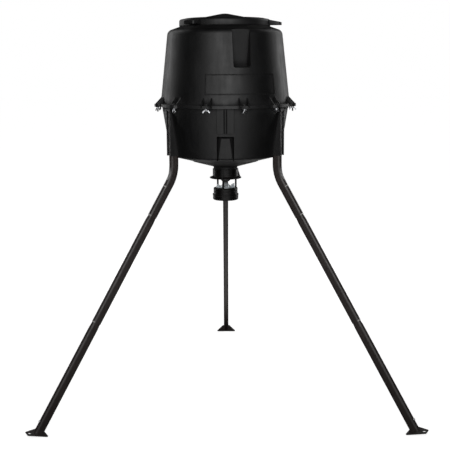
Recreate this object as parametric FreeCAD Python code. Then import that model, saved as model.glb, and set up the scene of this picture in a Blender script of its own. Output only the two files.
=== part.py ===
import FreeCAD, Part
import math
import os

from FreeCAD import Vector

# Spin cast feeder on three legs: a two-part moulded hopper with a twist-on lid,
# three jointed oval legs with staked feet, and a feeder kit hung under the spout.
# Millimetres, +Z up. The hopper's axis is the working axis of every sub-part.
# Each radial feature is drawn along +X and then turned to its place.

# ---- driving dimensions -----------------------------------------------------
UP = Vector(0, 0, 1)
ORIGIN = Vector(0, 0, 0)
WALL = 4.0

LEG_AZIMUTHS = (90.0, 210.0, 330.0)
RECESS_AZIMUTHS = (30.0, 150.0, 270.0)
BOLT_AZIMUTHS = [15.0 + 30.0 * k for k in range(12)]

# flange where the two hopper halves meet
PARTING_Z = 1311.0
FLANGE_T = 6.0
FLANGE_R = 290.0
BOLT_CIRCLE_R = 295.0
BOLT_R = 3.0
BOLT_HOLE_R = 3.3

# lower hopper
LOW_TOP_R = 272.0
LOW_EDGE_R = 238.0
LOW_EDGE_Z = 1094.0
STEP_R = 147.0
STEP_OUTER_Z = 1071.0
STEP_INNER_Z = 1067.0
SPOUT_R = 52.0
SPOUT_BORE_R = 47.0
SPOUT_TOP_Z = 1042.0
SPOUT_END_Z = 1003.0
PAD_Z = 1204.0
PAD_TOP_Z = PARTING_Z - FLANGE_T
PAD_PROUD = 5.0
BACKING_TOP_Z = PARTING_Z - 10.0
ALCOVE_TOP_Z = 1192.0
ALCOVE_HALF = 35.0
ALCOVE_FLOOR_R = 208.0

# upper hopper
UP_BASE_R = 277.0
UP_SHOULDER_R = 244.0
UP_SHOULDER_Z = 1601.0
NECK_R = 183.0
NECK_TOP_Z = 1654.0
LEDGE_Z = 1636.5
POCKET_AZIMUTHS = (285.4, 45.4, 165.4)
POCKET_BASE_Z = 1466.0
POCKET_TOP_Z = 1660.0
POCKET_FLOOR_R = (213.0, 243.0)
POCKET_DRAFT = 6.0
POCKET_MOUTH_R = 266.0
POCKET_CORNER_R = 9.0
PANEL_AZIMUTH = 285.4
PANEL_HALF_DEG = 33.0
PANEL_Z = (1359.0, 1442.0)
PANEL_GROOVE = 5.5
PANEL_DEPTH = 2.5

# lid
LID_R = 193.0
LID_RIM_Z = 1637.5
LID_TOP_Z = 1690.0
EAR_AZIMUTHS = (112.0, 232.0, 352.0)
EAR_TIP_R = 240.0
CATCH_TURN_DEG = 22.0

# legs: flat-oval tube, wide side in the leg's own upright plane
TUBE_WIDE = 40.0
TUBE_NARROW = 25.0
TUBE_WALL = 1.5
LEG_R = 252.0
LEG_TOP_Z = 1290.0
LEG_CORNER_Z = 1021.5
LEG_LEAN_DEG = 32.1
BEND_R = 160.0
CRUSH_R = 60.0
CRUSH_DEPTH = 5.0
JOINT_Z = (851.0, 428.0)
NECK_LENGTH = 45.0
SHOULDER_LENGTH = 23.0
SLIP_GAP = 0.25
SOCKET_HALF = 13.5
SOCKET_BACK_R = 230.0
SOCKET_EDGE_R = 275.0

# feet
FOOT_INNER_R = 865.0
FOOT_LENGTH = 76.0
FOOT_INNER_HALF = 53.0
FOOT_OUTER_HALF = 18.5
FOOT_T = 3.0
FOOT_TILT_DEG = 7.0
STAKE_HOLE_R = 6.75
STAKE_FROM_INNER = 63.0
FOOT_STUB = 60.0
FOOT_SCREW_UP = 34.0

# feeder kit
COLLAR_R = 56.0
COLLAR_BORE_R = 52.6
COLLAR_TOP_Z = 1031.0
BRIM_R = 69.0
PIN_Z = 1012.3
PIN_R = 2.6
PIN_AZIMUTHS = (281.0, 41.0, 161.0)
KIT_TURN_DEG = 17.0
POST_AZIMUTHS = (17.0, 137.0, 257.0)
POST_CIRCLE_R = 47.0
POST_R = 4.0
CAN_R = 52.7
CAN_TOP_Z = 947.0
CAN_BASE_Z = 921.0
CAN_NECK_R = 50.0
CAN_BORE_R = 47.5
CAN_NECK_Z = 905.0
PLATE_R = 41.6
PLATE_Z = 950.0
PLATE_T = 1.5
SHAFT_R = 2.0
MOTOR_R = 12.0
MOTOR_BASE_Z = 919.5
CAP_R = 56.8
CAP_BORE_R = 53.6
CAP_TOP_Z = 920.5
FACE_T = 2.5
BOARD_Z = 910.0
BUTTON_R = 3.0
BUTTON_Y = -20.0
BUTTON_X = {"set_button": -10.0, "up_button": 0.0, "down_button": 10.0}
CELL_R = 7.25
CELL_LENGTH = 50.5
CELL_X = 21.5
CELL_Z = (917.6, 932.6)


# ---- drawing helpers --------------------------------------------------------
def polar(radius, degrees, z=0.0):
    angle = math.radians(degrees)
    return Vector(radius * math.cos(angle), radius * math.sin(angle), z)


def turned(shape, degrees):
    """A copy of the shape turned about the hopper's axis."""
    copy = shape.copy()
    copy.rotate(ORIGIN, UP, degrees)
    return copy


def lathe(steps, start=0.0, span=360.0):
    """Turn a closed outline about the axis.

    A step of two numbers is a line to (radius, z). A step of four numbers is an
    arc through its first pair to its second pair.
    """
    edges = []
    here = Vector(steps[0][0], 0, steps[0][1])
    for step in steps[1:] + steps[:1]:
        there = Vector(step[-2], 0, step[-1])
        if len(step) == 4:
            middle = Vector(step[0], 0, step[1])
            edges.append(Part.Arc(here, middle, there).toShape())
        elif (there - here).Length > 1e-6:
            edges.append(Part.LineSegment(here, there).toShape())
        here = there
    face = Part.Face(Part.Wire(edges))
    return turned(face.revolve(ORIGIN, UP, span), start)


def rounded(before, corner, after, radius):
    """Two lathe steps that round the corner between two straight sides."""
    a = Vector(before[0] - corner[0], 0, before[1] - corner[1]).normalize()
    b = Vector(after[0] - corner[0], 0, after[1] - corner[1]).normalize()
    half = a.getAngle(b) / 2
    tangent = radius / math.tan(half)
    middle = (a + b).normalize() * (radius / math.sin(half) - radius)
    first = (corner[0] + a.x * tangent, corner[1] + a.z * tangent)
    last = (corner[0] + b.x * tangent, corner[1] + b.z * tangent)
    return [first, (corner[0] + middle.x, corner[1] + middle.z) + last]


def dome(rim_r, rim_z, top_z):
    """The lathe step that follows a rim point up or down to a pole on the axis."""
    rise = top_z - rim_z
    radius = (rim_r ** 2 + rise ** 2) / (2 * abs(rise))
    drop = radius - math.sqrt(radius ** 2 - rim_r ** 2 / 4)
    return (rim_r / 2, top_z - math.copysign(drop, rise), 0, top_z)


def ring(inner, outer, z0, z1, start=0.0, span=360.0):
    return lathe([(inner, z0), (outer, z0), (outer, z1), (inner, z1)], start, span)


def disc(radius, z0, z1, x=0.0, y=0.0):
    return Part.makeCylinder(radius, z1 - z0, Vector(x, y, z0))


def block(x0, x1, y0, y1, z0, z1):
    return Part.makeBox(x1 - x0, y1 - y0, z1 - z0, Vector(x0, y0, z0))


def upright_plate(points, y0, y1):
    """A flat plate drawn in the upright plane of +X and spread from y0 to y1."""
    corners = [Vector(x, y0, z) for x, z in points]
    face = Part.Face(Part.makePolygon(corners + corners[:1]))
    return face.extrude(Vector(0, y1 - y0, 0))


def flat_plate(points, z0, z1):
    corners = [Vector(x, y, z0) for x, y in points]
    face = Part.Face(Part.makePolygon(corners + corners[:1]))
    return face.extrude(Vector(0, 0, z1 - z0))


def front_prism(points, r0, r1):
    """A prism drawn facing outward, as (sideways, z) points, from radius r0 to r1."""
    corners = [Vector(r0, y, z) for y, z in points]
    face = Part.Face(Part.makePolygon(corners + corners[:1]))
    return face.extrude(Vector(r1 - r0, 0, 0))


def around(shape, azimuths):
    """The shape repeated at each azimuth, as a list."""
    return [turned(shape, azimuth) for azimuth in azimuths]


def one_solid(shape):
    shape = shape.removeSplitter()
    if shape.ShapeType != "Solid" and len(shape.Solids) == 1:
        return shape.Solids[0]
    return shape


# ---- hopper -----------------------------------------------------------------
def low_wall_r(z):
    """Outer radius of the lower hopper's tapered wall."""
    return LOW_EDGE_R + (LOW_TOP_R - LOW_EDGE_R) * (z - LOW_EDGE_Z) / (PARTING_Z - FLANGE_T - LOW_EDGE_Z)


def up_wall_r(z):
    """Outer radius of the upper hopper's tapered wall."""
    rise = UP_SHOULDER_Z - PARTING_Z - FLANGE_T
    return UP_BASE_R - (UP_BASE_R - UP_SHOULDER_R) * (z - PARTING_Z - FLANGE_T) / rise


def flange_half(z0):
    """Round flange with twelve bolt lugs, one plate thick, not yet hollow."""
    lug = [(262, -21), (297, -21), (307, -12), (307, 12), (297, 21), (262, 21)]
    plate = flat_plate(lug, z0, z0 + FLANGE_T)
    return disc(FLANGE_R, z0, z0 + FLANGE_T).multiFuse(around(plate, BOLT_AZIMUTHS))


def bolt_holes(z0, z1):
    return around(disc(BOLT_HOLE_R, z0, z1, BOLT_CIRCLE_R), BOLT_AZIMUTHS)


def wall_band(wall_r, z0, z1, below, above):
    """Ring that follows a tapered wall, from below its surface to above it."""
    return lathe([(wall_r(z0) - below, z0), (wall_r(z0) + above, z0),
                  (wall_r(z1) + above, z1), (wall_r(z1) - below, z1)])


def alcove_column():
    """Flared column in each alcove: flush with the wall in front, as wide as the alcove behind."""
    sections = []
    for radius, low, high, top in ((ALCOVE_FLOOR_R - 2, ALCOVE_HALF, ALCOVE_HALF, ALCOVE_TOP_Z),
                                   (254, 29, 16, ALCOVE_TOP_Z - 9), (300, 29, 16, ALCOVE_TOP_Z - 9)):
        corners = [Vector(radius, -low, 1045), Vector(radius, low, 1045),
                   Vector(radius, high, top), Vector(radius, -high, top)]
        sections.append(Part.makePolygon(corners + corners[:1]))
    return Part.makeLoft(sections[:2], True, True).fuse(Part.makeLoft(sections[1:], True, True))


def pad_blocks(half_widths, z0):
    """A pair of upright blocks, one each side of the middle, from inner to outer half width."""
    inner, outer = half_widths
    return block(220, 290, inner, outer, z0, PAD_TOP_Z).fuse(block(220, 290, -outer, -inner, z0, PAD_TOP_Z))


def pad_strips():
    """Two wide strips and a centre rib that stand proud of the wall above each alcove."""
    proud = wall_band(low_wall_r, PAD_Z, PAD_TOP_Z, 2, PAD_PROUD)
    return proud.common(block(220, 290, -34, 34, PAD_Z, PAD_TOP_Z))


def pad_channels():
    """Two channels between the centre rib and the strips, shallow beside the joint of the halves."""
    deep = wall_band(low_wall_r, PAD_Z - 1, BACKING_TOP_Z - WALL, PAD_PROUD, 20)
    shallow = wall_band(low_wall_r, PAD_Z - 1, PAD_TOP_Z, 0, 20)
    return deep.fuse(shallow).common(pad_blocks((2, 7.5), PAD_Z - 1))


def lower_hopper():
    top = PARTING_Z - FLANGE_T
    edge = rounded((STEP_R, STEP_OUTER_Z), (LOW_EDGE_R, LOW_EDGE_Z), (LOW_TOP_R, top), 13)
    outer = lathe([(0, SPOUT_END_Z), (SPOUT_R, SPOUT_END_Z), (SPOUT_R, SPOUT_TOP_Z),
                   (STEP_R - 4, STEP_INNER_Z), (STEP_R, STEP_OUTER_Z)]
                  + edge + [(LOW_TOP_R, top), (0, top)])
    sleeve = block(225, SOCKET_EDGE_R, -SOCKET_HALF - WALL, SOCKET_HALF + WALL, LOW_EDGE_Z + 9, top)
    pin = Part.makeCylinder(PIN_R, 7, Vector(SPOUT_R - 2, 0, PIN_Z), Vector(1, 0, 0))
    outer = outer.multiFuse([flange_half(top)] + around(sleeve, LEG_AZIMUTHS)
                            + around(pad_strips(), RECESS_AZIMUTHS) + around(pin, PIN_AZIMUTHS))

    cavity = lathe([(0, SPOUT_END_Z - 5), (SPOUT_BORE_R, SPOUT_END_Z - 5),
                    (SPOUT_BORE_R, SPOUT_TOP_Z + WALL), (STEP_R, STEP_OUTER_Z + WALL),
                    (LOW_EDGE_R - 7, LOW_EDGE_Z + 5), (LOW_TOP_R - WALL, top),
                    (LOW_TOP_R - WALL, PARTING_Z + 5), (0, PARTING_Z + 5)])
    socket_shell = block(SOCKET_BACK_R - WALL, 300, -SOCKET_HALF - WALL, SOCKET_HALF + WALL,
                         1050, LEG_TOP_Z + WALL)
    alcove_shell = block(ALCOVE_FLOOR_R - WALL, 300, -ALCOVE_HALF - WALL, ALCOVE_HALF + WALL,
                         1050, ALCOVE_TOP_Z + WALL)
    pad_backing = wall_band(low_wall_r, PAD_Z - 5, BACKING_TOP_Z, WALL + PAD_PROUD, 1).common(
        block(220, 290, -12, 12, PAD_Z - 5, BACKING_TOP_Z))
    cavity = cavity.cut(around(socket_shell, LEG_AZIMUTHS) + around(alcove_shell, RECESS_AZIMUTHS)
                        + around(pad_backing, RECESS_AZIMUTHS))

    socket = block(SOCKET_BACK_R, 320, -SOCKET_HALF, SOCKET_HALF, 1050, LEG_TOP_Z)
    alcove = block(ALCOVE_FLOOR_R, 320, -ALCOVE_HALF, ALCOVE_HALF, 1050, ALCOVE_TOP_Z)
    alcove = alcove.cut(alcove_column())
    voids = [cavity] + around(socket, LEG_AZIMUTHS) + around(alcove, RECESS_AZIMUTHS)
    voids += around(pad_channels(), RECESS_AZIMUTHS)
    return one_solid(outer.cut(voids + bolt_holes(top - 5, PARTING_Z + 5)))


def bolt_gussets():
    """Two triangular ribs that brace a bolt lug against the upper wall."""
    z0 = PARTING_Z + FLANGE_T
    outline = [(270, z0), (302, z0), (298, z0 + 4), (up_wall_r(z0 + 31) - 1, z0 + 31), (270, z0 + 31)]
    return [upright_plate(outline, 15, 19), upright_plate(outline, -19, -15)]


def pocket_outline(base_r, top_r, spread, draft):
    """Four corners of the grip pocket's outline, wider at the top, drawn in by the draft."""
    low, high = 36.5 + spread - draft, 44.5 + spread - draft
    z = POCKET_BASE_Z - spread + draft / 2
    corners = [Vector(base_r, -low, z), Vector(base_r, low, z),
               Vector(top_r, high, POCKET_TOP_Z), Vector(top_r, -high, POCKET_TOP_Z)]
    return Part.makePolygon(corners + corners[:1])


def pocket_prism(spread):
    """Drafted grip pocket, deepest at its base and open at its top and front."""
    base_r, top_r = [radius - spread for radius in POCKET_FLOOR_R]
    outlines = [pocket_outline(base_r, top_r, spread, POCKET_DRAFT),
                pocket_outline(POCKET_MOUTH_R, POCKET_MOUTH_R, spread, 0)]
    pocket = Part.makeLoft(outlines, True, True)
    lower = [e for e in pocket.Edges if max(v.Z for v in e.Vertexes) < POCKET_BASE_Z + 20
             and abs(e.Vertexes[0].X - e.Vertexes[1].X) > 10]
    return pocket.makeFillet(POCKET_CORNER_R + spread, lower)


def panel_block(inset, depth):
    """Curved block behind the plain panel's face, drawn in by inset on all four sides."""
    low, high = PANEL_Z[0] + inset, PANEL_Z[1] - inset
    half = PANEL_HALF_DEG - math.degrees(inset / UP_BASE_R)
    outline = [(up_wall_r(low) - depth, low), (up_wall_r(low) + 5, low),
               (up_wall_r(high) + 5, high), (up_wall_r(high) - depth, high)]
    return lathe(outline, PANEL_AZIMUTH - half, 2 * half)


def upper_hopper():
    z0 = PARTING_Z + FLANGE_T
    shoulder = (UP_SHOULDER_R - 1, UP_SHOULDER_Z + 17)
    ledge = (NECK_R + 9, LEDGE_Z - 1)
    bend = rounded((UP_BASE_R, z0), shoulder, ledge, 26)
    outer = lathe([(0, z0), (UP_BASE_R, z0)] + bend
                  + [ledge, (NECK_R + 2, LEDGE_Z), (NECK_R, LEDGE_Z + 2), (NECK_R, NECK_TOP_Z),
                     (0, NECK_TOP_Z)])
    boss = disc(8.5, z0, z0 + 3, BOLT_CIRCLE_R)
    braces = around(boss, BOLT_AZIMUTHS)
    for rib in bolt_gussets():
        braces += around(rib, BOLT_AZIMUTHS)
    lug = ring(NECK_R - 1, NECK_R + 4.5, LEDGE_Z + 6, LEDGE_Z + 9.5, CATCH_TURN_DEG - 10, 20)
    outer = outer.multiFuse([flange_half(PARTING_Z)] + braces + around(lug, EAR_AZIMUTHS))

    inner_shoulder = (shoulder[0] - WALL, shoulder[1] - WALL - 1)
    inner_bend = rounded((UP_BASE_R - WALL, z0), inner_shoulder, (NECK_R - WALL, LEDGE_Z - WALL), 22)
    cavity = lathe([(0, PARTING_Z - 5), (UP_BASE_R - WALL, PARTING_Z - 5), (UP_BASE_R - WALL, z0)]
                   + inner_bend + [(NECK_R - WALL, LEDGE_Z - WALL), (NECK_R - WALL, NECK_TOP_Z + 5),
                                   (0, NECK_TOP_Z + 5)])
    pocket_shell = pocket_prism(WALL)
    panel_shell = panel_block(-8, WALL + PANEL_DEPTH)
    cavity = cavity.cut(around(pocket_shell, POCKET_AZIMUTHS) + [panel_shell])

    panel = panel_block(0, PANEL_DEPTH).cut(panel_block(PANEL_GROOVE, PANEL_DEPTH + 2))
    pocket = pocket_prism(0)
    voids = [cavity, panel] + around(pocket, POCKET_AZIMUTHS)
    shell = outer.cut(voids + bolt_holes(PARTING_Z - 5, z0 + 10))
    spigot = ring(262, 266, PARTING_Z - 9, PARTING_Z).fuse(ring(262, 274, PARTING_Z, PARTING_Z + 4))
    return one_solid(shell.fuse(spigot))


def flange_bolts():
    z0 = PARTING_Z + FLANGE_T + 3
    corners = [polar(5.8, 60 * k) for k in range(6)]
    head = flat_plate([(BOLT_CIRCLE_R + c.x, c.y) for c in corners], z0, z0 + 4)
    bolt = head.fuse(disc(BOLT_R, PARTING_Z - 26, z0, BOLT_CIRCLE_R))
    return Part.makeCompound(around(one_solid(bolt), BOLT_AZIMUTHS))


def flange_washers():
    z1 = PARTING_Z - FLANGE_T
    washer = disc(7.5, z1 - 1.2, z1, BOLT_CIRCLE_R).cut(disc(BOLT_HOLE_R, z1 - 3, z1 + 1, BOLT_CIRCLE_R))
    return Part.makeCompound(around(washer, BOLT_AZIMUTHS))


def flange_wing_nuts():
    """Zinc wing nuts under the flange, each stopped at its own angle."""
    top = PARTING_Z - FLANGE_T - 1.2
    hub = Part.makeCone(5.2, 6.4, 7.5, Vector(0, 0, top - 7.5))
    outline = [(3.5, top - 1.5), (9, top - 4), (15.5, top - 11), (14.5, top - 14.5),
               (11, top - 14.5), (8.5, top - 9), (3.5, top - 7)]
    wing = upright_plate(outline, -1.2, 1.2)
    nut = hub.multiFuse([wing, turned(wing, 180)]).cut(disc(BOLT_R + 0.05, top - 20, top + 5))
    nuts = []
    for k, azimuth in enumerate(BOLT_AZIMUTHS):
        one = turned(one_solid(nut), 62.0 * (k - 8))
        one.translate(polar(BOLT_CIRCLE_R, azimuth))
        nuts.append(one)
    return Part.makeCompound(nuts)


# ---- lid --------------------------------------------------------------------
def lid_ear():
    """Hollow wedge grip on the lid's rim, open underneath."""
    low = LID_RIM_Z + 3.5
    outer = [(190, low), (EAR_TIP_R, low), (EAR_TIP_R, low + 11), (LID_R, low + 20), (190, low + 20)]
    inner = [(LID_R + 1, low - 2), (EAR_TIP_R - 3, low - 2), (EAR_TIP_R - 3, low + 8.3),
             (LID_R + 1, low + 16.5)]
    wedge = upright_plate(outer, -29, 29)
    tips = [e for e in wedge.Edges if min(v.X for v in e.Vertexes) > EAR_TIP_R - 1
            and abs(e.Vertexes[0].Y - e.Vertexes[1].Y) < 0.1]
    return wedge.makeFillet(9, tips).cut(upright_plate(inner, -26, 26))


def lid():
    outer = [(LID_R, LID_RIM_Z), (LID_R, 1656.5), (190.6, 1662.8, 184.5, 1665.5),
             (168, 1669), (97, 1673), (20, LID_TOP_Z - 2), dome(20, LID_TOP_Z - 2, LID_TOP_Z)]
    hollow = [(0, 1630), (LID_R - 3.5, 1630), (LID_R - 3.5, 1656), (184, 1662.5), (168, 1666),
              (97, 1670), (20, LID_TOP_Z - 5), dome(20, LID_TOP_Z - 5, LID_TOP_Z - 3)]
    shell = lathe(outer + [(0, LID_RIM_Z)]).cut(lathe(hollow))
    seat = ring(177.5, 186, NECK_TOP_Z + 3, 1664.5)
    catch = ring(NECK_R + 2, LID_R - 3, LID_RIM_Z + 0.5, LID_RIM_Z + 3.8, -8, 16)
    parts = [seat] + around(lid_ear(), EAR_AZIMUTHS) + around(catch, EAR_AZIMUTHS)
    return one_solid(shell.multiFuse(parts))


def lid_gasket():
    return ring(179.3, 182.7, NECK_TOP_Z, NECK_TOP_Z + 3)


# ---- legs -------------------------------------------------------------------
def oval(wide, narrow, center, shrink=0.0):
    """Flat-oval wire about a point: wide along X, narrow along Y, drawn in by shrink."""
    half = (wide - narrow) / 2
    radius = narrow / 2 - shrink
    x0, x1, y = center.x - half, center.x + half, center.y
    points = [Vector(x0, y - radius, center.z), Vector(x1, y - radius, center.z),
              Vector(x1 + radius, y, center.z), Vector(x1, y + radius, center.z),
              Vector(x0, y + radius, center.z), Vector(x0 - radius, y, center.z)]
    edges = [Part.LineSegment(points[0], points[1]).toShape(),
             Part.Arc(points[1], points[2], points[3]).toShape(),
             Part.LineSegment(points[3], points[4]).toShape(),
             Part.Arc(points[4], points[5], points[0]).toShape()]
    return Part.Wire(edges)


def tube_face(center, shrink=0.0):
    """Section of the tube wall, drawn in by shrink all round."""
    outer = Part.Face(oval(TUBE_WIDE, TUBE_NARROW, center, shrink))
    inner = Part.Face(oval(TUBE_WIDE, TUBE_NARROW, center, shrink + TUBE_WALL))
    return outer.cut(inner).Faces[0]


def along_leg(shape, station):
    """Place a shape drawn down from the origin at a distance down the leaning leg."""
    lean = math.radians(LEG_LEAN_DEG)
    copy = shape.copy()
    copy.rotate(ORIGIN, Vector(0, 1, 0), -LEG_LEAN_DEG)
    copy.translate(Vector(LEG_R + station * math.sin(lean), 0, LEG_CORNER_Z - station * math.cos(lean)))
    return copy


def station_at(z):
    """Distance down the leaning leg, from its corner, at a height."""
    return (LEG_CORNER_Z - z) / math.cos(math.radians(LEG_LEAN_DEG))


def straight_tube(length, shrink=0.0):
    return tube_face(ORIGIN, shrink).extrude(Vector(0, 0, -length))


def upper_leg_core(shrink):
    """Solid along the upper leg's path, drawn in by shrink, with the bend's crushed inner side."""
    tangent = BEND_R * math.tan(math.radians(LEG_LEAN_DEG / 2))
    bend_z = LEG_CORNER_Z + tangent
    top = Part.Face(oval(TUBE_WIDE, TUBE_NARROW, Vector(LEG_R, 0, LEG_TOP_Z), shrink))
    knee = Part.Face(oval(TUBE_WIDE, TUBE_NARROW, Vector(LEG_R, 0, bend_z), shrink))
    slope = Part.Face(oval(TUBE_WIDE, TUBE_NARROW, ORIGIN, shrink))
    upright = top.extrude(Vector(0, 0, bend_z - LEG_TOP_Z))
    bend = knee.revolve(Vector(LEG_R + BEND_R, 0, bend_z), Vector(0, -1, 0), LEG_LEAN_DEG)
    slope = slope.extrude(Vector(0, 0, tangent - station_at(JOINT_Z[0])))
    core = one_solid(upright.multiFuse([bend, along_leg(slope, tangent)]))

    half_turn = math.radians(LEG_LEAN_DEG / 2)
    reach = BEND_R - TUBE_WIDE / 2 + CRUSH_DEPTH - CRUSH_R
    center = Vector(LEG_R + BEND_R - reach * math.cos(half_turn), -50, bend_z - reach * math.sin(half_turn))
    return core.cut(Part.makeCylinder(CRUSH_R + shrink, 100, center, Vector(0, 1, 0)))


def upper_leg():
    return one_solid(upper_leg_core(0).cut(upper_leg_core(TUBE_WALL)))


def necked_tube(length):
    """Tube whose top end is drawn in to slip inside the tube above it."""
    shrink = TUBE_WALL + SLIP_GAP
    lower = Vector(0, 0, -SHOULDER_LENGTH)
    neck = tube_face(Vector(0, 0, NECK_LENGTH), shrink).extrude(Vector(0, 0, -NECK_LENGTH))
    solids = []
    for extra in (0.0, TUBE_WALL):
        wires = [oval(TUBE_WIDE, TUBE_NARROW, ORIGIN, shrink + extra),
                 oval(TUBE_WIDE, TUBE_NARROW, lower, extra)]
        solids.append(Part.makeLoft(wires, True, True))
    body = tube_face(lower).extrude(Vector(0, 0, SHOULDER_LENGTH - length))
    return one_solid(neck.multiFuse([solids[0].cut(solids[1]), body]))


def middle_leg():
    top, bottom = station_at(JOINT_Z[0]), station_at(JOINT_Z[1])
    return along_leg(necked_tube(bottom - top), top)


def on_foot(shape):
    """Place a shape drawn on the foot plate's own plane, inner edge at X = 0."""
    copy = shape.copy()
    copy.rotate(ORIGIN, Vector(0, 1, 0), -FOOT_TILT_DEG)
    copy.translate(Vector(FOOT_INNER_R, 0, 0))
    return copy


def below_foot_top():
    return on_foot(block(-200, 300, -100, 100, -200, FOOT_T))


def foot_screw_place():
    """Point on the tube's outer narrow side where the foot screw goes in."""
    return station_at(FOOT_SCREW_UP + 8)


def screw_drill(radius):
    drill = Part.makeCylinder(radius, 30, Vector(0, 0, 0), Vector(1, 0, 0))
    return along_leg(drill, foot_screw_place())


def lower_leg():
    top = station_at(JOINT_Z[1])
    tube = along_leg(necked_tube(station_at(-40.0) - top), top)
    return one_solid(tube.cut([below_foot_top(), screw_drill(2.6)]))


def foot():
    outline = [(0, -FOOT_INNER_HALF), (FOOT_LENGTH, -FOOT_OUTER_HALF),
               (FOOT_LENGTH, FOOT_OUTER_HALF), (0, FOOT_INNER_HALF)]
    plate = flat_plate(outline, 0, FOOT_T)
    uprights = [e for e in plate.Edges if abs(e.Vertexes[0].Z - e.Vertexes[1].Z) > 1]
    plate = on_foot(plate.makeFillet(6, uprights).cut(disc(STAKE_HOLE_R, -5, 10, STAKE_FROM_INNER)))
    shrink = TUBE_WALL + SLIP_GAP
    stub_top = station_at(FOOT_STUB)
    stub = along_leg(straight_tube(station_at(-40.0) - stub_top, shrink), stub_top)
    return one_solid(plate.fuse(stub.cut([below_foot_top(), screw_drill(2.5)])))


def foot_screws():
    """Pan-head screws that hold each foot's stub in the lower leg."""
    face_x = TUBE_WIDE / 2
    shank = Part.makeCylinder(2.4, 12, Vector(face_x - 12, 0, 0), Vector(1, 0, 0))
    head = Part.makeCone(4.8, 3.2, 3, Vector(face_x, 0, 0), Vector(1, 0, 0))
    screw = along_leg(one_solid(shank.fuse(head)), foot_screw_place())
    return Part.makeCompound(around(screw, LEG_AZIMUTHS))


# ---- feeder kit: collar, funnel, posts and timer can ------------------------
def kit_adapter():
    """Collar that locks on the spout, with the rain brim and funnel in one moulding."""
    body = lathe([(COLLAR_BORE_R, COLLAR_TOP_Z), (COLLAR_R, COLLAR_TOP_Z), (COLLAR_R, 1000),
                  (BRIM_R, 994), (BRIM_R, 991), (55, 995.5), (38, 991), (24, 984.5, 16, 976),
                  (13, 976), (22, 987.5, 38, 994.5), (COLLAR_BORE_R, 1000)])
    gusset = upright_plate([(55, 1027), (57, 1027), (67, 996), (55, 998)], -2.5, 2.5)
    boss = disc(4.6, 984, 998, POST_CIRCLE_R)
    body = body.multiFuse(around(gusset, POST_AZIMUTHS) + around(boss, POST_AZIMUTHS))
    end_gap = math.degrees((PIN_R + 0.6) / COLLAR_R)
    entry = turned(block(50, 62, -3.2, 3.2, PIN_Z - 3.3, COLLAR_TOP_Z + 1), KIT_TURN_DEG)
    run = ring(50, 62, PIN_Z - 3.3, PIN_Z + 3.3, -end_gap, KIT_TURN_DEG + end_gap)
    slots = around(entry.fuse(run), PIN_AZIMUTHS)
    holes = around(disc(POST_R + 0.1, 980, 995, POST_CIRCLE_R), POST_AZIMUTHS)
    return one_solid(body.cut(slots + holes))


def kit_posts():
    post = disc(POST_R, CAN_TOP_Z - 9, 995, POST_CIRCLE_R)
    return Part.makeCompound(around(post, POST_AZIMUTHS))


def timer_housing():
    body = lathe([(0, CAN_TOP_Z), (CAN_R - 1.2, CAN_TOP_Z), (CAN_R, CAN_TOP_Z - 1.2), (CAN_R, 936),
                  (CAN_R - 0.8, 935.2), (CAN_R - 0.8, 933.8), (CAN_R, 933), (CAN_R, CAN_BASE_Z),
                  (CAN_NECK_R, CAN_BASE_Z), (CAN_NECK_R, CAN_NECK_Z), (CAN_BORE_R, CAN_NECK_Z),
                  (CAN_BORE_R, CAN_TOP_Z - 2.5), (0, CAN_TOP_Z - 2.5)])
    pillar = disc(4, CAN_NECK_Z + FACE_T, CAN_TOP_Z - 2, 43.6)
    body = body.multiFuse([pillar, turned(pillar, 180)])
    drills = around(disc(POST_R + 0.1, CAN_TOP_Z - 9, CAN_TOP_Z + 5, POST_CIRCLE_R), POST_AZIMUTHS)
    drills += [disc(5.2, 930, 960), disc(1.3, 930, 960, 0, 8), disc(1.3, 930, 960, 0, -8)]
    drills += [disc(1.5, 900, 917, 43.6), disc(1.5, 900, 917, -43.6)]
    return one_solid(body.cut(drills))


def motor():
    top = CAN_TOP_Z - 2.5
    body = disc(MOTOR_R, MOTOR_BASE_Z, top).fuse(disc(5, top, CAN_TOP_Z))
    drills = [disc(SHAFT_R + 0.05, MOTOR_BASE_Z + 2, 960), disc(1.3, 938, 960, 0, 8),
              disc(1.3, 938, 960, 0, -8)]
    return one_solid(body.cut(drills))


def motor_screws():
    screw = one_solid(disc(1.2, 939, CAN_TOP_Z, 0, 8).fuse(disc(2.3, CAN_TOP_Z, CAN_TOP_Z + 1.4, 0, 8)))
    return Part.makeCompound([screw, turned(screw, 180)])


def spinner_shaft():
    return disc(SHAFT_R, MOTOR_BASE_Z + 2.5, 969)


def spinner_plate():
    """Zinc casting plate with four fins bent up from it."""
    plate = disc(PLATE_R, PLATE_Z, PLATE_Z + PLATE_T).cut(disc(SHAFT_R + 0.02, 940, 960))
    z1 = PLATE_Z + PLATE_T
    fin = upright_plate([(26, z1 - 0.5), (PLATE_R - 0.5, z1 - 0.5), (PLATE_R - 0.5, z1 + 13),
                         (36, z1 + 13), (26, z1 + 7)], -0.8, 0.8)
    return one_solid(plate.multiFuse(around(fin, (20, 110, 200, 290))))


def spinner_hub():
    z0 = PLATE_Z + PLATE_T
    cone = lathe([(0, z0), (23.5, z0), (10.5, z0 + 16), (7, 970), (0, 970)])
    set_hole = Part.makeCylinder(1.55, 20, Vector(0, 0, z0 + 7), Vector(0, -1, 0))
    return one_solid(cone.cut([disc(SHAFT_R + 0.02, 940, 980), set_hole]))


def spinner_set_screw():
    start = Vector(0, -SHAFT_R - 0.3, PLATE_Z + PLATE_T + 7)
    return Part.makeCylinder(1.5, 10, start, Vector(0, -1, 0))


def cap_seal():
    return ring(CAN_NECK_R, CAP_BORE_R - 0.4, 911, 914.5)


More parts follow.
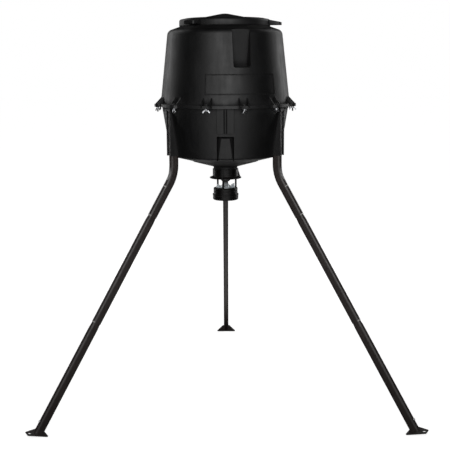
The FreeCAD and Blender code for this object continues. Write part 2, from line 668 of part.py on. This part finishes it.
def kit_cap():
    """Push-on weather cap that covers the timer's face and the battery side."""
    outer = lathe([(0, CAP_TOP_Z), (CAP_R, CAP_TOP_Z), (CAP_R, 915), (55.8, 914), (55.8, 901),
                   (54.6, 897.2, 50, 895.5), dome(50, 895.5, 893.5)])
    hollow = lathe([(0, 930), (CAP_BORE_R, 930), (CAP_BORE_R, 901), (52.4, 899, 50, 898.3),
                    dome(50, 898.3, 896.5)])
    return one_solid(outer.cut(hollow))


def timer_face():
    """Round face plate under the can, with the display window and the buttons."""
    plate = disc(CAN_BORE_R - 0.2, CAN_NECK_Z, CAN_NECK_Z + FACE_T)
    openings = [block(-13, 13, 4, 18, 900, 910), disc(1.6, 900, 910, 43.6), disc(1.6, 900, 910, -43.6)]
    openings += [disc(BUTTON_R + 0.35, 900, 910, x, BUTTON_Y) for x in BUTTON_X.values()]
    return one_solid(plate.cut(openings))


def display_window():
    return block(-13, 13, 4, 18, CAN_NECK_Z + 0.4, CAN_NECK_Z + 2.0)


def timer_board():
    """Circuit board with the display and the three switches on its underside."""
    board = block(-13.5, 13.5, -30, 30, BOARD_Z, BOARD_Z + 1.6)
    screen = block(-12, 12, 5, 17, CAN_NECK_Z + 2.2, BOARD_Z)
    relay = block(-8, 8, -8, 4, BOARD_Z + 1.6, BOARD_Z + 7)
    return one_solid(board.multiFuse([screen, relay]))


def timer_button(x):
    stem = disc(BUTTON_R, CAN_NECK_Z - 2.5, 908.9, x, BUTTON_Y)
    return one_solid(stem.fuse(disc(BUTTON_R + 1.2, 907.8, 908.9, x, BUTTON_Y)))


def face_screws():
    screw = one_solid(disc(1.4, CAN_NECK_Z, 916, 43.6).fuse(disc(3, CAN_NECK_Z - 1.8, CAN_NECK_Z, 43.6)))
    return Part.makeCompound([screw, turned(screw, 180)])


def battery_holder():
    """Two channels, one on each side of the motor, that hold two cells each."""
    base = block(15, 30.5, -28.5, 28.5, 908.8, 910.2)
    side = block(29.2, 30.5, -28.5, 28.5, 908.8, 938)
    ends = [block(15, 30.5, 27.2, 28.5, 908.8, 938), block(15, 30.5, -28.5, -27.2, 908.8, 938)]
    channel = one_solid(base.multiFuse([side] + ends))
    return Part.makeCompound([channel, turned(channel, 180)])


def batteries():
    cells = []
    for x in (-CELL_X, CELL_X):
        for z in CELL_Z:
            start = Vector(x, -CELL_LENGTH / 2, z)
            can = Part.makeCylinder(CELL_R, CELL_LENGTH - 1.5, start, Vector(0, 1, 0))
            nub = Part.makeCylinder(2.7, CELL_LENGTH, start, Vector(0, 1, 0))
            cells.append(one_solid(can.fuse(nub)))
    return Part.makeCompound(cells)


def battery_contacts():
    contacts = []
    for x in (-CELL_X, CELL_X):
        for y0 in (-27.0, 26.4):
            contacts.append(block(x - 5, x + 5, y0, y0 + 0.6, CELL_Z[0] - 5, CELL_Z[1] + 5))
    return Part.makeCompound(contacts)


# ---- assembly ---------------------------------------------------------------
def build_nodes():
    nodes = {
        "upper_hopper": upper_hopper(), "lower_hopper": lower_hopper(),
        "flange_bolts": flange_bolts(), "flange_washers": flange_washers(),
        "flange_wing_nuts": flange_wing_nuts(), "lid": lid(), "lid_gasket": lid_gasket(),
        "foot_screws": foot_screws(), "kit_adapter": kit_adapter(), "kit_posts": kit_posts(),
        "timer_housing": timer_housing(), "motor": motor(), "motor_screws": motor_screws(),
        "spinner_shaft": spinner_shaft(), "spinner_plate": spinner_plate(),
        "spinner_hub": spinner_hub(), "spinner_set_screw": spinner_set_screw(),
        "cap_seal": cap_seal(), "kit_cap": kit_cap(), "timer_face": timer_face(),
        "display_window": display_window(), "timer_board": timer_board(),
        "face_screws": face_screws(), "battery_holder": battery_holder(),
        "batteries": batteries(), "battery_contacts": battery_contacts(),
    }
    for name, x in BUTTON_X.items():
        nodes[name] = timer_button(x)
    sections = {"upper_leg": upper_leg(), "middle_leg": middle_leg(),
                "lower_leg": lower_leg(), "foot": foot()}
    for side, azimuth in zip(("back", "left", "right"), LEG_AZIMUTHS):
        for name, shape in sections.items():
            nodes[name + "_" + side] = turned(shape, azimuth)
    return nodes


def exact_box(shapes):
    return Part.makeCompound(shapes).optimalBoundingBox(False)


def center_on_footprint(nodes):
    """Slide the whole object in Y so the middle of the feet's box is on the origin."""
    feet = [nodes["foot_" + side] for side in ("back", "left", "right")]
    shift = -exact_box(feet).Center.y
    for shape in nodes.values():
        shape.translate(Vector(0, shift, 0))
    return shift


os.makedirs("parts", exist_ok=True)
all_nodes = build_nodes()
axis_y = center_on_footprint(all_nodes)
for node_name, node_shape in all_nodes.items():
    node_shape.exportStep("parts/" + node_name + ".step")
    print(node_name, len(node_shape.Solids), "solids", round(node_shape.Volume / 1000, 1), "cm3",
          "valid" if node_shape.isValid() else "NOT VALID")
whole = exact_box(list(all_nodes.values()))
print("hopper axis at y", round(axis_y, 4))
print("box", [round(v, 3) for v in (whole.XMin, whole.YMin, whole.ZMin, whole.XMax, whole.YMax, whole.ZMax)])
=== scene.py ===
import math

import bmesh
import bpy
from mathutils import Matrix, Vector


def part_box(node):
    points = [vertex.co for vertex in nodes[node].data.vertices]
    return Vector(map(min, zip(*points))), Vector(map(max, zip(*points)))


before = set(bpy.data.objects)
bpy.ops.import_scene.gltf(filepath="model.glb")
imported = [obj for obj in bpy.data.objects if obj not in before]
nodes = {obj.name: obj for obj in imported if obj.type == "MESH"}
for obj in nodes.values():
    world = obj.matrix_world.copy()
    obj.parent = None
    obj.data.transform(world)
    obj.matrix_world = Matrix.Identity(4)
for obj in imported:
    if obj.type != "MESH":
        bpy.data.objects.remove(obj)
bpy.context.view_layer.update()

# ---------------------------------------------------------------------------
# Two-part hopper. Both halves are black polyethylene, injection moulded with a
# fine satin grain, and bolted together at the flange by hand.
# ---------------------------------------------------------------------------
hub_low, hub_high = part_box("spinner_hub")
HOPPER_AXIS = Vector(((hub_low.x + hub_high.x) / 2, (hub_low.y + hub_high.y) / 2, 0))
HOPPER_SHADE = (0.0028, 0.0028, 0.0031)
SCUFF_SHADE = (0.030, 0.030, 0.031)
FLANGE_REACH = 0.286
DUST_SHADE = (0.085, 0.080, 0.072)
PLAIN_SHINE = 0.5
SHARP_EDGE = math.radians(35)


def new_finish(name):
    """A fresh node material, its shader and a place-in-metres coordinate."""
    finish = bpy.data.materials.new(name)
    finish.use_nodes = True
    tree = finish.node_tree
    shader = tree.nodes["Principled BSDF"]
    place = tree.nodes.new("ShaderNodeTexCoord").outputs["Object"]
    return finish, tree, shader, place


def mottle(tree, place, scale, detail=3.0, rough=0.55, stretch=None):
    """Noise in metres of the object, stretched along an axis if asked."""
    if stretch:
        mapping = tree.nodes.new("ShaderNodeMapping")
        mapping.inputs["Scale"].default_value = stretch
        tree.links.new(place, mapping.inputs["Vector"])
        place = mapping.outputs["Vector"]
    noise = tree.nodes.new("ShaderNodeTexNoise")
    noise.inputs["Scale"].default_value = scale
    noise.inputs["Detail"].default_value = detail
    noise.inputs["Roughness"].default_value = rough
    tree.links.new(place, noise.inputs["Vector"])
    return noise.outputs["Fac"]


def spread(tree, value, low, high, out_low, out_high):
    """Map a value from one range to another, clamped."""
    ranged = tree.nodes.new("ShaderNodeMapRange")
    ranged.inputs["From Min"].default_value = low
    ranged.inputs["From Max"].default_value = high
    ranged.inputs["To Min"].default_value = out_low
    ranged.inputs["To Max"].default_value = out_high
    tree.links.new(value, ranged.inputs["Value"])
    return ranged.outputs["Result"]


def times(tree, first, second):
    """Two masks multiplied together."""
    product = tree.nodes.new("ShaderNodeMath")
    product.operation = "MULTIPLY"
    tree.links.new(first, product.inputs[0])
    tree.links.new(second, product.inputs[1])
    return product.outputs["Value"]


def tint(tree, factor, first, second):
    """Blend two colours by a mask. Either colour may be an earlier blend."""
    blend = tree.nodes.new("ShaderNodeMix")
    blend.data_type = "RGBA"
    for colour, socket in ((first, blend.inputs[6]), (second, blend.inputs[7])):
        if isinstance(colour, tuple):
            socket.default_value = (*colour, 1)
        else:
            tree.links.new(colour, socket)
    tree.links.new(factor, blend.inputs[0])
    return blend.outputs[2]


def relief(tree, shader, layers):
    """Stack bumps, each a height and its depth in metres, on the shader's normal."""
    normal = None
    for height, depth in layers:
        bump = tree.nodes.new("ShaderNodeBump")
        bump.inputs["Strength"].default_value = 1.0
        bump.inputs["Distance"].default_value = depth
        tree.links.new(height, bump.inputs["Height"])
        if normal:
            tree.links.new(normal, bump.inputs["Normal"])
        normal = bump.outputs["Normal"]
    tree.links.new(normal, shader.inputs["Normal"])


def from_axis(tree, place):
    """Distance in metres from the hopper's axis."""
    level = tree.nodes.new("ShaderNodeVectorMath")
    level.operation = "MULTIPLY"
    level.inputs[1].default_value = (1, 1, 0)
    tree.links.new(place, level.inputs[0])
    reach = tree.nodes.new("ShaderNodeVectorMath")
    reach.operation = "DISTANCE"
    reach.inputs[1].default_value = HOPPER_AXIS
    tree.links.new(level.outputs["Vector"], reach.inputs[0])
    return reach.outputs["Value"]


def facing_up(tree, low, high, most=1):
    """Mask for faces turned up, from nothing at one slope to the most at another."""
    geometry = tree.nodes.new("ShaderNodeNewGeometry")
    parts = tree.nodes.new("ShaderNodeSeparateXYZ")
    tree.links.new(geometry.outputs["Normal"], parts.inputs["Vector"])
    return spread(tree, parts.outputs["Z"], low, high, 0, most)


def dust(tree, place, first, amount):
    """Pale dust that lies on faces turned up, in uneven patches, over a colour."""
    facing = facing_up(tree, 0.55, 1.0, amount)
    patches = spread(tree, mottle(tree, place, 14.0, 6.0, 0.65), 0.35, 0.75, 0.1, 1)
    return tint(tree, times(tree, facing, patches), first, DUST_SHADE)


def recess(tree, reach):
    """Mask that is one on open faces and nothing in narrow grooves and inner corners."""
    shelter = tree.nodes.new("ShaderNodeAmbientOcclusion")
    shelter.samples = 8
    shelter.inputs["Distance"].default_value = reach
    return spread(tree, shelter.outputs["AO"], 0.4, 0.9, 0, 1)


def moulded_black(name, shade, rough_low, rough_high, grain, settled=0.12, shine=PLAIN_SHINE):
    """Black moulded plastic: cloudy shade, wiped gloss, slight ripple and a fine grain."""
    finish, tree, shader, place = new_finish(name)
    dark = tuple(c * 0.7 for c in shade)
    cloud = spread(tree, mottle(tree, place, 5.0, 4.0), 0.35, 0.65, 0, 1)
    colour = tint(tree, cloud, dark, shade)
    flange_edge = spread(tree, from_axis(tree, place), FLANGE_REACH, FLANGE_REACH + 0.012, 0, 1)
    scuffs = spread(tree, mottle(tree, place, 120.0, 5.0, 0.7), 0.45, 0.7, 0, 1)
    rubbed = times(tree, flange_edge, scuffs)
    colour = tint(tree, rubbed, colour, SCUFF_SHADE)
    tree.links.new(dust(tree, place, colour, settled), shader.inputs["Base Color"])
    wipe = mottle(tree, place, 18.0, 6.0, 0.62)
    streak = mottle(tree, place, 60.0, 3.0, 0.5, (1, 1, 0.06))
    gloss = times(tree, spread(tree, wipe, 0.3, 0.7, rough_low, rough_high),
                  spread(tree, streak, 0.3, 0.7, 0.92, 1.08))
    dull = spread(tree, recess(tree, 0.03), 0, 1, 1.8, 1)
    tree.links.new(times(tree, gloss, dull), shader.inputs["Roughness"])
    pebble = mottle(tree, place, 1300.0, 2.0, 0.5)
    ripple = mottle(tree, place, 9.0, 1.0, 0.3)
    relief(tree, shader, [(ripple, 0.0011), (pebble, grain)])
    shader.inputs["Specular IOR Level"].default_value = shine
    return finish


def wear(node, finish, round_to=0.0, steps=2):
    """Give a CAD node its finish, and round its sharp edges by round_to metres."""
    piece = nodes[node]
    piece.data.materials.clear()
    piece.data.materials.append(finish)
    if round_to:
        edge = piece.modifiers.new("eased_edges", "BEVEL")
        edge.width = round_to
        edge.segments = steps
        edge.limit_method = "ANGLE"
        edge.angle_limit = SHARP_EDGE
    return piece


hopper_black = moulded_black("moulded_hopper_black", HOPPER_SHADE, 0.47, 0.57, 0.00008)
for half in ("upper_hopper", "lower_hopper"):
    wear(half, hopper_black, 0.0012)

# ---------------------------------------------------------------------------
# Twist-on lid. A shallow black moulded cover, finer grained than the hopper, with
# three hollow wedge grips; a rubber ring inside it seals on the hopper's neck.
# ---------------------------------------------------------------------------
lid_black = moulded_black("moulded_lid_black", (0.0045, 0.0045, 0.005), 0.50, 0.60, 0.00003, 0.12)
wear("lid", lid_black, 0.0012)


def soft_rubber(name):
    """Matt black rubber with a bloomed surface."""
    finish, tree, shader, place = new_finish(name)
    bloom = spread(tree, mottle(tree, place, 90.0, 5.0, 0.6), 0.35, 0.7, 0, 1)
    rubber_black = tint(tree, bloom, (0.012, 0.012, 0.012), (0.035, 0.034, 0.033))
    tree.links.new(rubber_black, shader.inputs["Base Color"])
    tree.links.new(spread(tree, bloom, 0, 1, 0.7, 0.9), shader.inputs["Roughness"])
    relief(tree, shader, [(mottle(tree, place, 1500.0), 0.00005)])
    return finish


wear("lid_gasket", soft_rubber("seal_rubber_black"), 0.0006)

# ---------------------------------------------------------------------------
# Flange fasteners. Twelve hex bolts with washers and wing nuts join the halves.
# The cold-headed bolts are coated black; washers and wing nuts are zinc plated.
# ---------------------------------------------------------------------------


def plated(name, bright, shadow, rough_low, rough_high, marks):
    """Bright plated steel with cloudy passivation and fine tool marks."""
    finish, tree, shader, place = new_finish(name)
    cloud = spread(tree, mottle(tree, place, 160.0, 4.0, 0.6), 0.35, 0.65, 0, 1)
    tree.links.new(tint(tree, cloud, shadow, bright), shader.inputs["Base Color"])
    grey = mottle(tree, place, 420.0, 4.0, 0.6)
    tree.links.new(spread(tree, grey, 0.3, 0.7, rough_low, rough_high), shader.inputs["Roughness"])
    shader.inputs["Metallic"].default_value = 1.0
    relief(tree, shader, [(mottle(tree, place, 900.0, 3.0, 0.6, (1, 1, 0.25)), marks)])
    return finish


zinc = plated("bright_zinc", (0.62, 0.63, 0.65), (0.45, 0.46, 0.48), 0.36, 0.52, 0.00004)
for node in ("flange_washers", "flange_wing_nuts"):
    wear(node, zinc, 0.0004)
bolt_black = moulded_black("black_bolt_coating", (0.012, 0.012, 0.013), 0.4, 0.55, 0.00002, 0.3)
wear("flange_bolts", bolt_black, 0.0004)

# ---------------------------------------------------------------------------
# Legs and feet. Flat-oval steel tube in three slip-together lengths a leg, with
# pressed foot plates, all in brown-black powder coat. Pale steel-coloured highlights
# (glints) are painted on the upper side at the joints and where each bend's crush ends.
# ---------------------------------------------------------------------------
LEG_SIDES = ("back", "left", "right")
LEG_LEAN = math.radians(32.1)
TUBE_WIDE = 0.04
# Colour and length of the painted highlights (glints) on the legs.
PAINTED_GLINT_COLOUR = (0.42, 0.41, 0.39)
GLINT_LENGTH = 0.006
CRUSH_ABOVE_END = 0.136


def down_leg(tree, place):
    """Distance down the line of any leg, the same for all three."""
    height = tree.nodes.new("ShaderNodeSeparateXYZ")
    tree.links.new(place, height.inputs["Vector"])
    drop = tree.nodes.new("ShaderNodeMath")
    drop.operation = "MULTIPLY"
    tree.links.new(height.outputs["Z"], drop.inputs[0])
    drop.inputs[1].default_value = -math.cos(LEG_LEAN)
    line = tree.nodes.new("ShaderNodeMath")
    line.operation = "MULTIPLY_ADD"
    tree.links.new(from_axis(tree, place), line.inputs[0])
    line.inputs[1].default_value = math.sin(LEG_LEAN)
    tree.links.new(drop.outputs["Value"], line.inputs[2])
    return line.outputs["Value"]


def section_end(section):
    """Where a leg section's lower end lies down the line of the leg."""
    low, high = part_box(section)
    inner = high.y - HOPPER_AXIS.y - TUBE_WIDE * math.cos(LEG_LEAN)
    return inner * math.sin(LEG_LEAN) - low.z * math.cos(LEG_LEAN)


def painted_glint_mask(tree, place, end):
    """Mask for a painted highlight (glint) a few millimetres above a place down the leg, on its upper
    side.
    """
    line = down_leg(tree, place)
    rim = times(tree, spread(tree, line, end - GLINT_LENGTH, end - GLINT_LENGTH / 2, 0, 1),
                spread(tree, line, end, end + 0.001, 1, 0))
    return times(tree, rim, facing_up(tree, 0.1, 0.4))


def powder_coat(name, shade, worn, glint_ends=(), shine=PLAIN_SHINE):
    """Powder coat with orange peel, thin places rubbed paler, and painted highlights (glints) at given
    places down the legs.
    """
    finish, tree, shader, place = new_finish(name)
    cloud = spread(tree, mottle(tree, place, 12.0, 5.0, 0.6), 0.35, 0.65, 0, 1)
    colour = tint(tree, cloud, tuple(c * 0.75 for c in shade), shade)
    fleck = spread(tree, mottle(tree, place, 240.0, 6.0, 0.75), 0.66, 0.74, 0, 0.8)
    colour = tint(tree, fleck, colour, worn)
    # Painted highlights: pale steel colour on the upper side at each given place down the leg.
    for end in glint_ends:
        colour = tint(tree, painted_glint_mask(tree, place, end), colour, PAINTED_GLINT_COLOUR)
    tree.links.new(dust(tree, place, colour, 0.06), shader.inputs["Base Color"])
    gloss = mottle(tree, place, 50.0, 5.0, 0.6)
    tree.links.new(spread(tree, gloss, 0.3, 0.7, 0.34, 0.5), shader.inputs["Roughness"])
    peel = mottle(tree, place, 420.0, 2.0, 0.45)
    relief(tree, shader, [(peel, 0.00012)])
    shader.inputs["Specular IOR Level"].default_value = shine
    return finish


# The painted highlights (glints) go at the crush end, the upper section's end and the middle section's
# end.
leg_coat = powder_coat("leg_powder_coat", (0.036, 0.029, 0.027), (0.085, 0.074, 0.068),
                       (section_end("upper_leg_back") - CRUSH_ABOVE_END, section_end("upper_leg_back"),
                        section_end("middle_leg_back")))
for side in LEG_SIDES:
    for section in ("upper_leg_", "middle_leg_", "lower_leg_"):
        wear(section + side, leg_coat, 0.0004)
    wear("foot_" + side, leg_coat, 0.0006)
wear("foot_screws", zinc, 0.0004)

# ---------------------------------------------------------------------------
# Feeder kit. A black moulded collar with a rain brim and funnel locks on the
# spout, and three coated rods carry the timer can with its push-on cap.
# ---------------------------------------------------------------------------
kit_black = moulded_black("moulded_kit_black", (0.0045, 0.004, 0.004), 0.30, 0.42, 0.00003, 0.2, 0.28)
for node in ("kit_adapter", "timer_housing", "kit_cap", "timer_face", "battery_holder"):
    wear(node, kit_black, 0.0004)
wear("cap_seal", soft_rubber("cap_seal_rubber"), 0.0004)
rod_coating = powder_coat("rod_coating", (0.006, 0.006, 0.0065), (0.03, 0.03, 0.03), shine=0.12)
wear("kit_posts", rod_coating, 0.0004)

# ---------------------------------------------------------------------------
# Spinner. A zinc-plated plate with four bent-up fins turns under the funnel,
# with a cast cone hub that is locked on the motor's shaft by a set screw.
# ---------------------------------------------------------------------------


def turned_zinc(name, bright, shadow):
    """Blue-white zinc with turning rings about the spinner's axis."""
    finish, tree, shader, place = new_finish(name)
    cloud = spread(tree, mottle(tree, place, 110.0, 4.0, 0.6), 0.35, 0.65, 0, 1)
    tree.links.new(tint(tree, cloud, shadow, bright), shader.inputs["Base Color"])
    rings = tree.nodes.new("ShaderNodeTexNoise")
    rings.noise_dimensions = "1D"
    rings.inputs["Scale"].default_value = 2600.0
    tree.links.new(from_axis(tree, place), rings.inputs["W"])
    tree.links.new(spread(tree, rings.outputs["Fac"], 0.3, 0.7, 0.28, 0.46), shader.inputs["Roughness"])
    shader.inputs["Metallic"].default_value = 0.55
    relief(tree, shader, [(rings.outputs["Fac"], 0.00006)])
    return finish


spinner_zinc = turned_zinc("spinner_blue_zinc", (0.86, 0.91, 0.94), (0.70, 0.75, 0.78))
for node in ("spinner_plate", "spinner_hub"):
    wear(node, spinner_zinc, 0.0004)
for node in ("spinner_shaft", "spinner_set_screw", "motor_screws", "face_screws"):
    wear(node, zinc, 0.0003)

# ---------------------------------------------------------------------------
# Timer works. A steel-cased motor, a small circuit board with its display and
# switches, four cells between nickel contacts, and rubbery grey buttons.
# ---------------------------------------------------------------------------
case_steel = plated("motor_case_steel", (0.58, 0.59, 0.61), (0.42, 0.43, 0.45), 0.3, 0.45, 0.00004)
wear("motor", case_steel, 0.0004)
nickel = plated("contact_nickel", (0.76, 0.75, 0.71), (0.6, 0.59, 0.56), 0.2, 0.35, 0.00002)
wear("battery_contacts", nickel)


def board_and_display(name):
    """Green board with paler tracks; the display block below it is a plain grey-green."""
    finish, tree, shader, place = new_finish(name)
    board_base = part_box("timer_board")[0].z
    tracks = tree.nodes.new("ShaderNodeTexBrick")
    tracks.inputs["Scale"].default_value = 130.0
    tracks.inputs["Mortar Size"].default_value = 0.045
    tracks.inputs["Color1"].default_value = (0.012, 0.085, 0.035, 1)
    tracks.inputs["Color2"].default_value = (0.010, 0.070, 0.030, 1)
    tracks.inputs["Mortar"].default_value = (0.05, 0.22, 0.09, 1)
    tree.links.new(place, tracks.inputs["Vector"])
    parts = tree.nodes.new("ShaderNodeSeparateXYZ")
    tree.links.new(place, parts.inputs["Vector"])
    below = spread(tree, parts.outputs["Z"], board_base + 0.0020, board_base + 0.0022, 1, 0)
    glass_grey = tint(tree, mottle(tree, place, 300.0), (0.20, 0.23, 0.18), (0.26, 0.29, 0.23))
    tree.links.new(tint(tree, below, tracks.outputs["Color"], glass_grey), shader.inputs["Base Color"])
    gloss = spread(tree, mottle(tree, place, 200.0), 0.3, 0.7, 0.25, 0.4)
    tree.links.new(gloss, shader.inputs["Roughness"])
    relief(tree, shader, [(tracks.outputs["Fac"], 0.00003)])
    return finish


wear("timer_board", board_and_display("board_green"), 0.0002)


def clear_plastic(name):
    """Clear moulded window with faint wiping marks."""
    finish, tree, shader, place = new_finish(name)
    haze = mottle(tree, place, 240.0, 5.0, 0.6, (1, 0.2, 1))
    tree.links.new(tint(tree, haze, (0.93, 0.95, 0.95), (0.98, 0.99, 0.99)), shader.inputs["Base Color"])
    tree.links.new(spread(tree, haze, 0.4, 0.8, 0.03, 0.16), shader.inputs["Roughness"])
    shader.inputs["Transmission Weight"].default_value = 0.95
    relief(tree, shader, [(haze, 0.00001)])
    return finish


wear("display_window", clear_plastic("window_clear"), 0.0003)


def button_rubber(name):
    """Grey silicone rubber, a little translucent."""
    finish, tree, shader, place = new_finish(name)
    cloud = mottle(tree, place, 500.0)
    grey = tint(tree, cloud, (0.16, 0.16, 0.17), (0.24, 0.24, 0.25))
    tree.links.new(grey, shader.inputs["Base Color"])
    tree.links.new(spread(tree, cloud, 0.3, 0.7, 0.5, 0.65), shader.inputs["Roughness"])
    relief(tree, shader, [(mottle(tree, place, 2500.0), 0.00003)])
    return finish


for node in ("set_button", "up_button", "down_button"):
    wear(node, button_rubber("button_grey"), 0.0004)


def cell_jacket(name):
    """Plain cell: pale grey jacket with one dark band, and a bare steel nub end."""
    finish, tree, shader, place = new_finish(name)
    nub_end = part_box("batteries")[1].y
    parts = tree.nodes.new("ShaderNodeSeparateXYZ")
    tree.links.new(place, parts.inputs["Vector"])
    band = spread(tree, parts.outputs["Y"], nub_end - 0.0135, nub_end - 0.0130, 0, 1)
    bare = spread(tree, parts.outputs["Y"], nub_end - 0.0016, nub_end - 0.0014, 0, 1)
    jacket = tint(tree, band, (0.42, 0.43, 0.44), (0.03, 0.06, 0.10))
    worn = spread(tree, mottle(tree, place, 400.0, 5.0, 0.7), 0.62, 0.72, 0, 0.5)
    jacket = tint(tree, worn, jacket, (0.6, 0.6, 0.6))
    tree.links.new(tint(tree, bare, jacket, (0.68, 0.68, 0.67)), shader.inputs["Base Color"])
    tree.links.new(spread(tree, bare, 0, 1, 0.0, 1.0), shader.inputs["Metallic"])
    gloss = spread(tree, mottle(tree, place, 300.0), 0.3, 0.7, 0.25, 0.38)
    tree.links.new(gloss, shader.inputs["Roughness"])
    relief(tree, shader, [(mottle(tree, place, 900.0), 0.00002)])
    return finish


wear("batteries", cell_jacket("plain_cell_jacket"), 0.0004)

# ---------------------------------------------------------------------------
# Studio: pale floor and white surround that only the camera sees, one broad soft
# light in front, two tall ones behind the sides, and three low ones for the floor.
# ---------------------------------------------------------------------------
scene = bpy.context.scene
scene.view_settings.view_transform = "Standard"
CAMERA_BACK = 3.63
CAMERA_UP = 1.488
CAMERA_LEFT = 0.0035
CAMERA_PITCH = 11.05
CAMERA_ROLL = -0.3
SENSOR = 36.0
FOCAL_SHARE = 1.852

camera = bpy.data.objects.new("studio_camera", bpy.data.cameras.new("studio_camera"))
scene.collection.objects.link(camera)
camera.data.sensor_width = SENSOR
camera.data.lens = SENSOR * FOCAL_SHARE
camera.location = (HOPPER_AXIS.x - CAMERA_LEFT, HOPPER_AXIS.y - CAMERA_BACK, CAMERA_UP)
level_aim = Matrix.Rotation(math.radians(90 - CAMERA_PITCH), 4, "X")
camera.matrix_world = (Matrix.Translation(camera.location) @ level_aim
                       @ Matrix.Rotation(math.radians(CAMERA_ROLL), 4, "Z"))
scene.camera = camera

world = bpy.data.worlds.new("white_surround")
scene.world = world
world.use_nodes = True
world.node_tree.nodes["Background"].inputs["Color"].default_value = (1, 1, 1, 1)
world.node_tree.nodes["Background"].inputs["Strength"].default_value = 1.0
world.cycles_visibility.diffuse = False
world.cycles_visibility.glossy = False

floor_mesh = bpy.data.meshes.new("pale_floor")
build = bmesh.new()
bmesh.ops.create_grid(build, x_segments=1, y_segments=1, size=30.0)
build.to_mesh(floor_mesh)
build.free()
floor = bpy.data.objects.new("pale_floor", floor_mesh)
scene.collection.objects.link(floor)
floor_paint, floor_tree, floor_shader, floor_place = new_finish("pale_floor_paint")
floor_shader.inputs["Base Color"].default_value = (0.9, 0.9, 0.9, 1)
floor_shader.inputs["Roughness"].default_value = 1.0
floor_shader.inputs["Specular IOR Level"].default_value = 0.0
floor_shader.inputs["Emission Color"].default_value = (1, 1, 1, 1)
floor_glow = spread(floor_tree, from_axis(floor_tree, floor_place), 1.2, 3.0, 0.75, 1.0)
floor_tree.links.new(floor_glow, floor_shader.inputs["Emission Strength"])
floor_mesh.materials.append(floor_paint)
floor.visible_diffuse = False
floor.visible_glossy = False


def soft_light(name, place, aim, width, height, power):
    """A rectangular soft light, aimed from the hopper's axis, that the camera doesn't see."""
    lamp = bpy.data.lights.new(name, "AREA")
    lamp.shape = "RECTANGLE"
    lamp.size = width
    lamp.size_y = height
    lamp.energy = power
    piece = bpy.data.objects.new(name, lamp)
    piece.location = HOPPER_AXIS + Vector(place)
    piece.rotation_euler = (Vector(aim) - Vector(place)).to_track_quat("-Z", "Y").to_euler()
    piece.visible_camera = False
    scene.collection.objects.link(piece)


soft_light("front_light", (0.0, -4.4, 2.45), (0, 0, 1.3), 3.8, 2.2, 115)
soft_light("front_floor_bounce", (0, -2.9, 0.02), (0, -2.9, 1.0), 4.0, 2.0, 45)
soft_light("left_light", (-2.6, 2.0, 2.1), (0, 0, 1.4), 1.1, 3.6, 36)
soft_light("right_light", (2.6, 2.0, 2.1), (0, 0, 1.4), 0.9, 3.6, 38)
soft_light("rear_floor_bounce", (0, 3.2, 0.02), (0, 2.4, 1.0), 4.0, 2.4, 11)
soft_light("centre_floor_bounce", (0, 0.35, 0.02), (0, 0.35, 1.0), 1.5, 0.8, 2.7)
